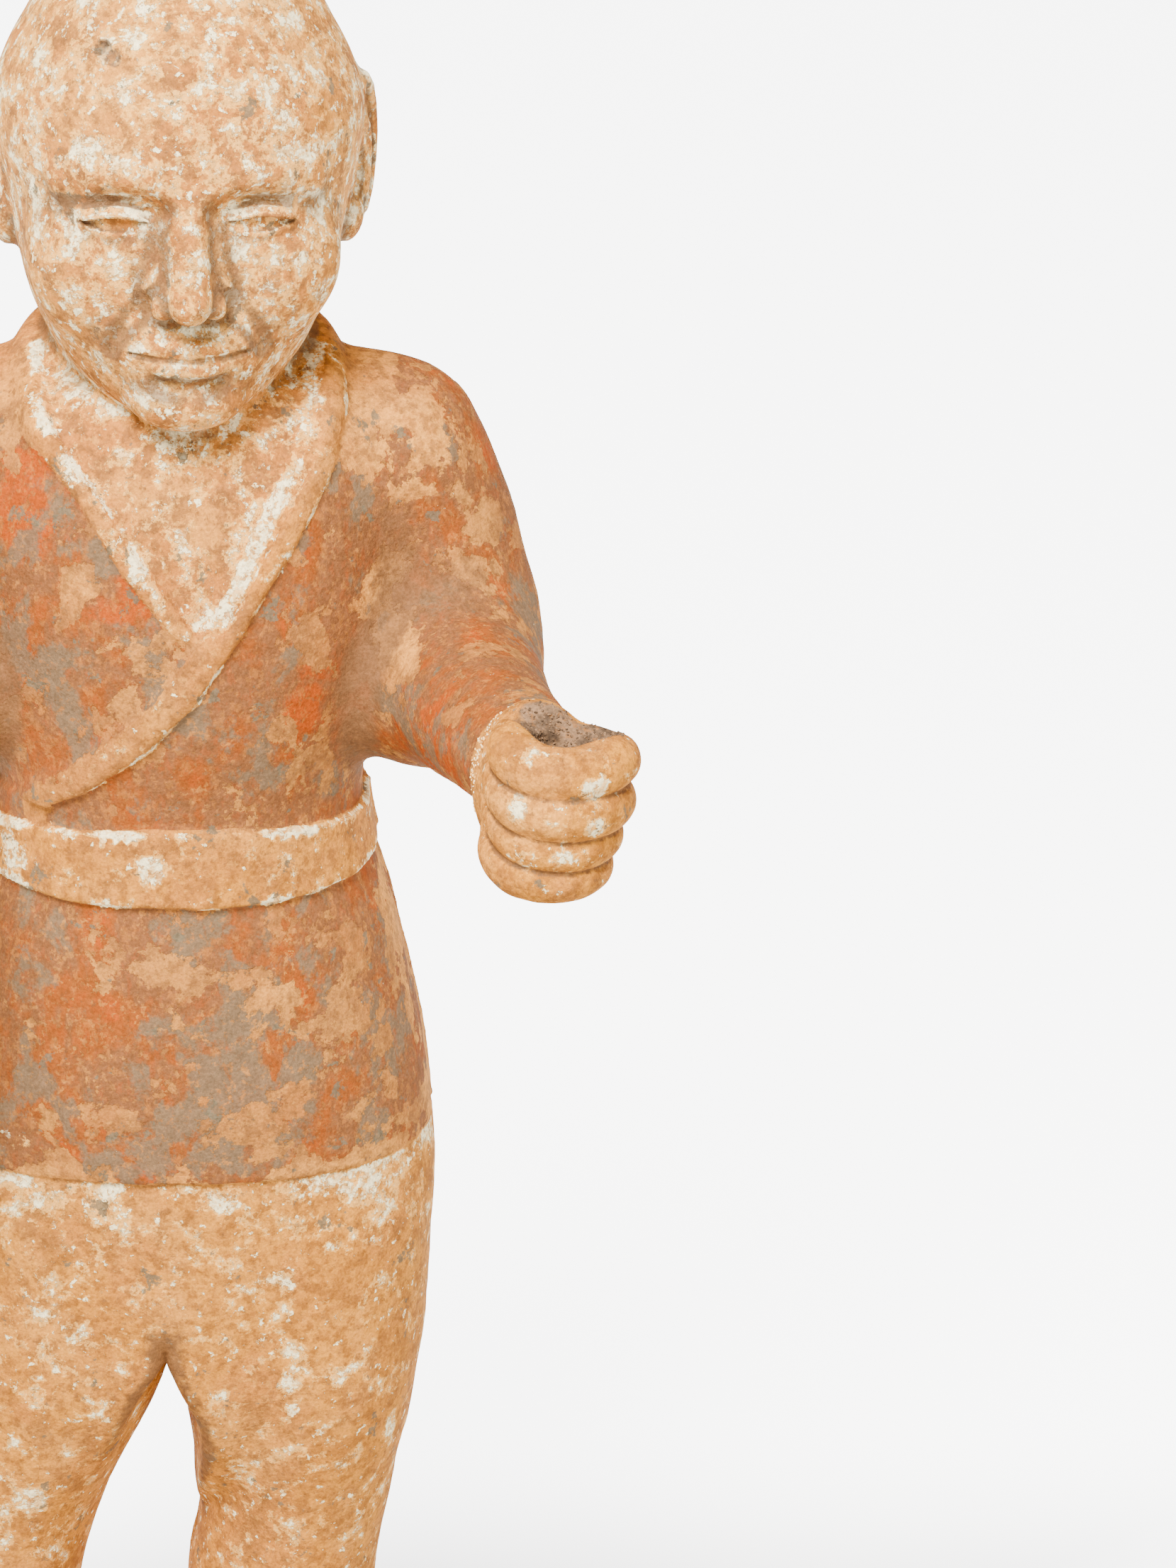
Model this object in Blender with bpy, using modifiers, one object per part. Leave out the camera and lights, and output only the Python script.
"""A painted pottery warrior figure, a little over a metre tall, standing on a low slab.

The figure was fired in one piece with its slab, so it is one solid. It wears a crossed
jacket with a belt over wide trousers, and both fists are pierced from top to bottom for
the shaft of a lost weapon. Metres, +Z up, the front faces -Y, and the origin is at the
middle of the slab's underside.
"""

import math

import bmesh
import bpy
import numpy as np
from mathutils import Euler, Matrix, Vector

# Driving dimensions, in metres.
FIGURE_HEIGHT = 1.105
SLAB_WIDTH = 0.316
SLAB_DEPTH = 0.236
SLAB_THICKNESS = 0.025
SLAB_CORNER = 0.060
GRIP_BORE = 0.025
CUT_MARGIN = 0.012

# How finely the clay surface is meshed, in metres, and the share of faces that is kept.
SURFACE_STEP = 0.0038
SMOOTH_ROUNDS = 6
FACES_WANTED = 9000

# The tables give places and sizes in thousandths of the figure's height. Heights count
# from the soles, x runs to the figure's left and y to its back, from its body axis.
THOUSANDTH = FIGURE_HEIGHT / 1000.0

# Where the body axis stands on the slab: the right leg is set further out.
BODY_AXIS = Vector((26.0, 8.0, 0.0)) * THOUSANDTH

# Jacket: height, half width, depth in front, depth behind.
JACKET = (
    (419, 123.0, 90, 88),
    (450, 119.5, 91, 87),
    (490, 111.2, 90, 84),
    (530, 101.4, 87, 80),
    (565, 90.5, 82, 76),
    (600, 87.5, 81, 75),
    (640, 95.0, 85, 78),
    (690, 102.0, 87, 82),
    (740, 101.0, 80, 82),
    (775, 88.0, 68, 76),
    (800, 62.0, 52, 62),
)
JACKET_POWER = 2.25

# Belt: its edges in front and at the sides, and how far it stands off the jacket.
BELT_TOP_FRONT = 596.0
BELT_TOP_SIDE = 586.0
BELT_FOOT_FRONT = 558.0
BELT_FOOT_SIDE = 560.0
BELT_RELIEF = 3.5

# Trousers: height, x of the middle, y of the middle, half width, half depth.
HIPS = (
    (309, -6, 0, 8.0, 58),
    (318, -4, 0, 36.0, 73),
    (332, -1, 0, 88.0, 81),
    (354, 0, 0, 122.0, 85),
    (385, 0, 0, 124.3, 86),
    (405, 0, 0, 123.0, 85),
    (430, 0, 0, 114.0, 82),
    (470, 0, 0, 100.0, 76),
)
LEFT_LEG = (
    (26, 53, 2, 37.0, 43),
    (60, 53, 0, 47.0, 55),
    (110, 52, 2, 45.5, 55),
    (163, 53, 3, 47.0, 57),
    (186, 56, 2, 46.5, 59),
    (208, 59, 2, 47.5, 61),
    (231, 60, 1, 49.5, 65),
    (254, 60, 0, 52.0, 70),
    (275, 61, 0, 54.5, 74),
    (300, 61, 0, 58.5, 79),
    (345, 57, 0, 64.0, 79),
    (385, 55, 0, 65.0, 78),
    (410, 52, 0, 62.0, 74),
    (440, 48, 0, 54.0, 64),
)
RIGHT_LEG = (
    (26, -104, 2, 37.0, 43),
    (60, -103, 0, 47.0, 55),
    (110, -99, 2, 46.0, 55),
    (163, -94, 3, 47.0, 57),
    (186, -89, 2, 47.0, 59),
    (208, -83, 2, 47.5, 61),
    (231, -77, 1, 48.0, 65),
    (254, -72, 0, 49.5, 70),
    (275, -68, 0, 51.0, 74),
    (300, -63, 0, 55.0, 79),
    (345, -57, 0, 64.0, 79),
    (385, -55, 0, 65.0, 78),
    (410, -52, 0, 62.0, 74),
    (440, -48, 0, 54.0, 64),
)
TROUSER_POWER = 2.15

# Shoes: x of the heel, how far the toe turns out in degrees, and the shoe's own rows of
# distance forward, half width and height.
SHOES = ((53.0, -7.0), (-104.0, 12.0))
SHOE_ROWS = (
    (-44, 20, 34),
    (-30, 28, 44),
    (0, 29, 47),
    (34, 31, 37),
    (62, 30, 27),
    (84, 22, 22),
    (93, 9, 15),
)

# Left arm, mirrored for the right: x, y, height, radius, from the shoulder to the wrist.
ARM = (
    (96, 6, 750, 40.5),
    (112, 7, 717, 44.0),
    (121, 2, 682, 43.0),
    (126, -20, 660, 40.0),
    (132, -62, 656, 36.5),
    (142, -112, 660, 30.5),
    (152, -160, 664, 27.0),
)
GUSSET = (
    (76, -2, 690, 36.0),
    (90, -10, 655, 34.0),
    (108, -26, 650, 36.0),
)
SHOULDER_YOKE = (
    (20, 14, 784, 40.0),
    (64, 9, 765, 36.0),
    (96, 6, 750, 40.5),
)
NECK = (
    (0, 14, 735, 62.0),
    (0, 10, 790, 55.0),
    (0, 2, 835, 51.0),
)

# Fists: the grip's axis, each finger's height and radius, and how much of that radius
# lies outside the bore.
GRIP_AXIS = (163.0, -200.0)
FINGERS = ((633.0, 10.6), (650.0, 11.0), (668.0, 11.5), (686.0, 11.7))
FINGER_COVER = 0.92
PALM = ((156, -176, 660), (28, 23, 38))

# Head, before it is tipped forward and turned about the neck. The skull's rows are
# height, half width, depth in front, depth behind. The balls, in centre and radii, are
# the brows, the closed lids, the mouth and the chin.
HEAD_PIVOT = (0.0, 5.0, 822.0)
HEAD_NOD = 4.0
HEAD_TURN = 3.0
SKULL = (
    (791, 24.0, 66, 10),
    (799, 41.0, 78, 28),
    (814, 57.0, 82, 48),
    (836, 67.0, 82, 62),
    (862, 73.0, 81, 74),
    (888, 76.0, 82, 84),
    (914, 79.0, 84, 89),
    (938, 77.5, 81, 89),
    (962, 69.0, 70, 80),
    (982, 52.0, 51, 61),
    (995, 31.0, 29, 37),
    (1001, 10.0, 9, 13),
)
SKULL_POWER = 2.1
HEAD_BALLS = (
    ((30, -72, 904), (26, 12, 8)),
    ((-30, -72, 904), (26, 12, 8)),
    ((31, -71, 887), (16, 9, 7)),
    ((-31, -71, 887), (16, 9, 7)),
    ((0, -80, 829), (25, 10, 12)),
    ((0, -72, 804), (22, 16, 12)),
)
NOSE = (
    (0, -79, 903, 6.0),
    (0, -89, 880, 8.0),
    (0, -94, 860, 10.5),
)
EAR = ((79, 10, 891), (9, 20, 40))
EAR_FLARE = 20.0

# Collar bands: x and height of their middle line on the chest, then radius. The left
# lapel, on top, runs from the neck across the chest down to the belt.
LEFT_LAPEL = (
    (64, 775, 9.0),
    (51, 744, 9.5),
    (36, 718, 9.5),
    (21, 692, 9.5),
    (-2, 660, 9.5),
    (-24, 637, 9.5),
    (-46, 617, 9.5),
    (-62, 600, 9.0),
)
RIGHT_LAPEL = (
    (-62, 775, 7.5),
    (-42, 752, 7.5),
    (-22, 721, 7.5),
    (2, 690, 7.0),
)
COLLAR_SINK = 5.5
NECKLINE_DEPTH = 6.0
NAPE = (
    (-62, -40, 775, 8.0),
    (-63, 4, 803, 8.0),
    (-40, 46, 812, 8.5),
    (0, 62, 812, 9.0),
    (40, 46, 812, 8.5),
    (63, 4, 803, 8.5),
    (64, -40, 775, 9.0),
)

CLAY = ("Painted pottery", (0.62, 0.36, 0.20, 1.0), 0.85)


def clear_scene():
    for obj in list(bpy.data.objects):
        bpy.data.objects.remove(obj, do_unlink=True)


def new_collection(name):
    collection = bpy.data.collections.new(name)
    bpy.context.scene.collection.children.link(collection)
    return collection


def spline_rows(rows, per_span):
    """The rows with more rows read between them, from a smooth curve through all."""
    points = np.array(rows, float)
    padded = np.vstack([2 * points[0] - points[1], points, 2 * points[-1] - points[-2]])
    found = []
    for i in range(len(points) - 1):
        before, start, end, after = padded[i : i + 4]
        for t in np.linspace(0.0, 1.0, per_span, endpoint=False):
            found.append(
                0.5
                * (
                    2 * start
                    + (end - before) * t
                    + (2 * before - 5 * start + 4 * end - after) * t**2
                    + (3 * start - before - 3 * end + after) * t**3
                )
            )
    return np.vstack([found, points[-1]])


def oval_ring(centre, half_width, front, back, height, power, count=36):
    """A level ring: a superellipse with its own depth in front and behind."""
    ring = []
    for turn in np.linspace(0.0, 2 * math.pi, count, endpoint=False):
        c, s = math.cos(turn), math.sin(turn)
        x = half_width * math.copysign(abs(c) ** (2 / power), c)
        depth = back if s > 0 else front
        y = depth * math.copysign(abs(s) ** (2 / power), s)
        ring.append(Vector((centre[0] + x, centre[1] + y, height)))
    return ring


def loft(name, rings):
    """A closed skin over level or upright rings of equal count."""
    bm = bmesh.new()
    loops = [[bm.verts.new(p) for p in ring] for ring in rings]
    count = len(loops[0])
    for lower, upper in zip(loops, loops[1:]):
        for i in range(count):
            j = (i + 1) % count
            bm.faces.new((lower[i], lower[j], upper[j], upper[i]))
    bm.faces.new(loops[0][::-1])
    bm.faces.new(loops[-1])
    bmesh.ops.recalc_face_normals(bm, faces=bm.faces)
    mesh = bpy.data.meshes.new(name)
    bm.to_mesh(mesh)
    bm.free()
    return mesh


def tube(name, rows, per_span=6):
    """A round limb along x, y, height rows with a radius each, as a mesh."""
    curve = bpy.data.curves.new(name, "CURVE")
    curve.dimensions = "3D"
    curve.bevel_depth = 1.0
    curve.bevel_resolution = 6
    curve.use_fill_caps = True
    path = spline_rows(rows, per_span)
    spline = curve.splines.new("POLY")
    spline.points.add(len(path) - 1)
    for point, row in zip(spline.points, path):
        point.co = (row[0], row[1], row[2], 1.0)
        point.radius = row[3]
    holder = bpy.data.objects.new(name, curve)
    bpy.context.scene.collection.objects.link(holder)
    graph = bpy.context.evaluated_depsgraph_get()
    mesh = bpy.data.meshes.new_from_object(holder.evaluated_get(graph))
    bpy.data.objects.remove(holder)
    bm = bmesh.new()
    bm.from_mesh(mesh)
    bmesh.ops.remove_doubles(bm, verts=bm.verts, dist=1e-4)
    bmesh.ops.recalc_face_normals(bm, faces=bm.faces)
    bm.to_mesh(mesh)
    bm.free()
    return mesh


def ball(name, centre, radii, turn=None):
    """A stretched ball at its centre, turned if asked."""
    bm = bmesh.new()
    bmesh.ops.create_uvsphere(bm, u_segments=36, v_segments=20, radius=1.0)
    place = Matrix.Translation(Vector(centre))
    if turn is not None:
        place = place @ turn
    bm.transform(place @ Matrix.Diagonal((*radii, 1.0)))
    mesh = bpy.data.meshes.new(name)
    bm.to_mesh(mesh)
    bm.free()
    return mesh


def finger_ring(name, centre, height, ring, radius, segments=36):
    """One finger, closed round the grip as a ring."""
    bpy.ops.mesh.primitive_torus_add(
        major_segments=segments,
        minor_segments=14,
        major_radius=ring,
        minor_radius=radius,
        location=(centre[0], centre[1], height),
    )
    made = bpy.context.object
    mesh = made.data.copy()
    mesh.name = name
    mesh.transform(made.matrix_world)
    bpy.data.objects.remove(made)
    return mesh


def mirrored(mesh):
    """A copy of a mesh on the figure's other side, with its faces still pointing out."""
    other = mesh.copy()
    other.transform(Matrix.Diagonal((-1.0, 1.0, 1.0, 1.0)))
    other.flip_normals()
    return other


def chest_front(x, height):
    """y of the jacket's front face at x and height."""
    rows = np.array(JACKET, float)
    half_width, front = (np.interp(height, rows[:, 0], rows[:, k]) for k in (1, 2))
    share = min(abs(x) / half_width, 0.98)
    return -front * (1 - share**JACKET_POWER) ** (1 / JACKET_POWER)


def across_lapel(rows, height):
    """x of a lapel's middle line at this height."""
    table = np.array(rows, float)[::-1]
    return np.interp(height, table[:, 1], table[:, 0])


def jacket():
    """The jacket, with the neckline between its lapels sunk a little."""
    rings = [
        oval_ring((0, 0), width, front, back, height, JACKET_POWER, count=96)
        for height, width, front, back in spline_rows(JACKET, 8)
    ]
    for point in (point for ring in rings for point in ring if point.y < 0):
        inside = min(
            across_lapel(LEFT_LAPEL, point.z) - point.x,
            point.x - across_lapel(RIGHT_LAPEL, point.z),
        )
        if point.z > RIGHT_LAPEL[-1][1]:
            point.y += NECKLINE_DEPTH * min(max(inside / 8.0, 0.0), 1.0)
    return loft("jacket", rings)


def belt():
    """A band round the waist that narrows towards the sides."""
    rows = np.array(JACKET, float)
    rings = []
    for share, relief in ((0.0, 0.0), (0.12, 1.0), (0.5, 1.1), (0.88, 1.0), (1.0, 0.0)):
        ring = []
        for point in oval_ring((0, 0), 1.0, 1.0, 1.0, 0.0, JACKET_POWER):
            aside = abs(point.x)
            foot = BELT_FOOT_FRONT + (BELT_FOOT_SIDE - BELT_FOOT_FRONT) * aside**2
            top = BELT_TOP_FRONT + (BELT_TOP_SIDE - BELT_TOP_FRONT) * aside**2
            height = foot + (top - foot) * share
            width, front, back = (
                np.interp(height, rows[:, 0], rows[:, k]) + BELT_RELIEF * relief
                for k in (1, 2, 3)
            )
            depth = back if point.y > 0 else front
            ring.append(Vector((point.x * width, point.y * depth, height)))
        rings.append(ring)
    return loft("belt", rings)


def trouser(name, table):
    rings = [
        oval_ring((x, y), width, depth, depth, height, TROUSER_POWER)
        for height, x, y, width, depth in spline_rows(table, 5)
    ]
    return loft(name, rings)


def shoe(name, heel_x, toe_out):
    """A plain slipper, lofted from the heel to the toe, flat below."""
    rings = []
    for forward, half_width, height in spline_rows(SHOE_ROWS, 4):
        ring = []
        for turn in np.linspace(0.0, 2 * math.pi, 28, endpoint=False):
            across = half_width * math.cos(turn)
            up = height * 0.5 * (1 + math.sin(turn)) - 3.0
            ring.append(Vector((across, -forward, up)))
        rings.append(ring)
    mesh = loft(name, rings)
    mesh.transform(
        Matrix.Translation((heel_x, 0.0, 0.0))
        @ Matrix.Rotation(math.radians(toe_out), 4, "Z")
    )
    return mesh


def lapel(name, rows):
    """A collar band laid on the chest, sunk so that only its upper part stands proud."""
    laid = [
        (x, chest_front(x, height) + COLLAR_SINK, height, radius)
        for x, height, radius in rows
    ]
    return tube(name, laid)


def arm_parts():
    """Shoulder, sleeve and fist of the left arm."""
    parts = [
        tube("sleeve", ARM),
        ball("shoulder", ARM[0][:3], (ARM[0][3],) * 3),
        tube("yoke", SHOULDER_YOKE),
        tube("gusset", GUSSET),
        ball("palm", *PALM),
    ]
    bore_radius = GRIP_BORE / 2 / THOUSANDTH
    for number, (height, radius) in enumerate(FINGERS):
        ring = bore_radius + FINGER_COVER * radius
        parts.append(finger_ring(f"finger_{number}", GRIP_AXIS, height, ring, radius))
    return parts


def head_parts():
    """The head's shapes, tipped and turned about the neck."""
    rings = [
        oval_ring((0, 0), width, front, back, height, SKULL_POWER)
        for height, width, front, back in spline_rows(SKULL, 4)
    ]
    parts = [loft("skull", rings)]
    parts += [ball("feature", centre, radii) for centre, radii in HEAD_BALLS]
    parts.append(tube("nose", NOSE))
    parts.append(ball("nose_tip", NOSE[-1][:3], (NOSE[-1][3],) * 3))
    flare = Matrix.Rotation(math.radians(EAR_FLARE), 4, "Z")
    ear = ball("ear", *EAR, turn=flare)
    parts += [ear, mirrored(ear)]
    pose = (
        Matrix.Translation(HEAD_PIVOT)
        @ Euler((math.radians(HEAD_NOD), 0, math.radians(HEAD_TURN))).to_matrix().to_4x4()
        @ Matrix.Translation(-Vector(HEAD_PIVOT))
    )
    for part in parts:
        part.transform(pose)
    return parts


def figure_parts():
    """Every shape of the figure, in thousandths, from the body axis at the soles."""
    left_arm = arm_parts()
    return [
        jacket(),
        belt(),
        trouser("hips", HIPS),
        trouser("left_leg", LEFT_LEG),
        trouser("right_leg", RIGHT_LEG),
        *(shoe(f"shoe_{n}", x, turn) for n, (x, turn) in enumerate(SHOES)),
        *left_arm,
        *(mirrored(part) for part in left_arm),
        tube("neck", NECK),
        lapel("left_lapel", LEFT_LAPEL),
        lapel("right_lapel", RIGHT_LAPEL),
        tube("nape", NAPE),
        *head_parts(),
    ]


def slab():
    """The low slab, in metres, reaching below the ground so that it can be cut flat."""
    rings = []
    for height, inset in (
        (-CUT_MARGIN, 0.0),
        (SLAB_THICKNESS - 0.006, 0.0),
        (SLAB_THICKNESS - 0.0015, 0.0015),
        (SLAB_THICKNESS, 0.006),
    ):
        ring = []
        for x_sign, y_sign, start in ((1, 1, 0), (-1, 1, 90), (-1, -1, 180), (1, -1, 270)):
            for turn in np.linspace(start, start + 90, 8):
                reach = SLAB_CORNER - inset
                x = x_sign * (SLAB_WIDTH / 2 - SLAB_CORNER)
                y = y_sign * (SLAB_DEPTH / 2 - SLAB_CORNER)
                angle = math.radians(turn)
                ring.append(
                    Vector((x + reach * math.cos(angle), y + reach * math.sin(angle), height))
                )
        rings.append(ring)
    return loft("slab", rings)


def add_modifier(obj, name, kind, **settings):
    modifier = obj.modifiers.new(name, kind)
    for key, value in settings.items():
        setattr(modifier, key, value)
    return modifier


def cutter(name, mesh, collection):
    obj = bpy.data.objects.new(name, mesh)
    obj.hide_render = True
    obj.display_type = "WIRE"
    collection.objects.link(obj)
    return obj


def grip_cutter(name, side, collection):
    """A shaft that runs through one fist and past both of its faces."""
    bm = bmesh.new()
    low, high = FINGERS[0][0] - 40, FINGERS[-1][0] + 40
    bmesh.ops.create_cone(
        bm,
        cap_ends=True,
        segments=24,
        radius1=GRIP_BORE / 2,
        radius2=GRIP_BORE / 2,
        depth=(high - low) * THOUSANDTH,
    )
    mesh = bpy.data.meshes.new(name)
    bm.to_mesh(mesh)
    bm.free()
    place = Vector((side * GRIP_AXIS[0], GRIP_AXIS[1], (low + high) / 2)) * THOUSANDTH
    mesh.transform(Matrix.Translation(place + BODY_AXIS + Vector((0, 0, SLAB_THICKNESS))))
    return cutter(name, mesh, collection)


def ground_cutter(name, collection):
    """A block whose top is the ground."""
    bm = bmesh.new()
    bmesh.ops.create_cube(bm, size=1.0)
    block = (SLAB_WIDTH * 2, SLAB_DEPTH * 2, CUT_MARGIN * 4)
    bm.transform(Matrix.Translation((0, 0, -block[2] / 2)) @ Matrix.Diagonal((*block, 1)))
    mesh = bpy.data.meshes.new(name)
    bm.to_mesh(mesh)
    bm.free()
    return cutter(name, mesh, collection)


def clay_material():
    name, colour, roughness = CLAY
    material = bpy.data.materials.new(name)
    material.use_nodes = True
    shader = material.node_tree.nodes["Principled BSDF"]
    shader.inputs["Base Color"].default_value = colour
    shader.inputs["Roughness"].default_value = roughness
    shader.inputs["Metallic"].default_value = 0.0
    return material


def joined(name, meshes):
    """One mesh that holds all of these, still overlapping."""
    bm = bmesh.new()
    for mesh in meshes:
        bm.from_mesh(mesh)
    mesh = bpy.data.meshes.new(name)
    bm.to_mesh(mesh)
    bm.free()
    return mesh


def kept_share(obj):
    """The share of faces that leaves about FACES_WANTED."""
    bpy.context.view_layer.update()
    graph = bpy.context.evaluated_depsgraph_get()
    evaluated = obj.evaluated_get(graph)
    mesh = evaluated.to_mesh()
    mesh.calc_loop_triangles()
    count = len(mesh.loop_triangles)
    evaluated.to_mesh_clear()
    return min(1.0, FACES_WANTED / count)


def main():
    clear_scene()
    parts = new_collection("Pottery warrior")
    cutters = new_collection("Cutters")
    cutters.hide_render = True

    to_place = (
        Matrix.Translation(BODY_AXIS + Vector((0, 0, SLAB_THICKNESS)))
        @ Matrix.Scale(THOUSANDTH, 4)
    )
    shapes = figure_parts()
    for shape in shapes:
        shape.transform(to_place)
    shapes.append(slab())

    figure = bpy.data.objects.new("warrior_figure", joined("warrior_figure", shapes))
    parts.objects.link(figure)
    figure.data.materials.append(clay_material())

    add_modifier(
        figure, "Join clay", "REMESH", mode="VOXEL", voxel_size=SURFACE_STEP, use_smooth_shade=True
    )
    add_modifier(figure, "Soften", "SMOOTH", factor=0.5, iterations=SMOOTH_ROUNDS)
    add_modifier(figure, "Thin out", "DECIMATE", ratio=kept_share(figure))
    for name, side in (("left_grip", 1), ("right_grip", -1)):
        bore = grip_cutter(name, side, cutters)
        add_modifier(figure, name, "BOOLEAN", operation="DIFFERENCE", object=bore)
    ground = ground_cutter("ground", cutters)
    add_modifier(figure, "Flat underside", "BOOLEAN", operation="DIFFERENCE", object=ground)


main()
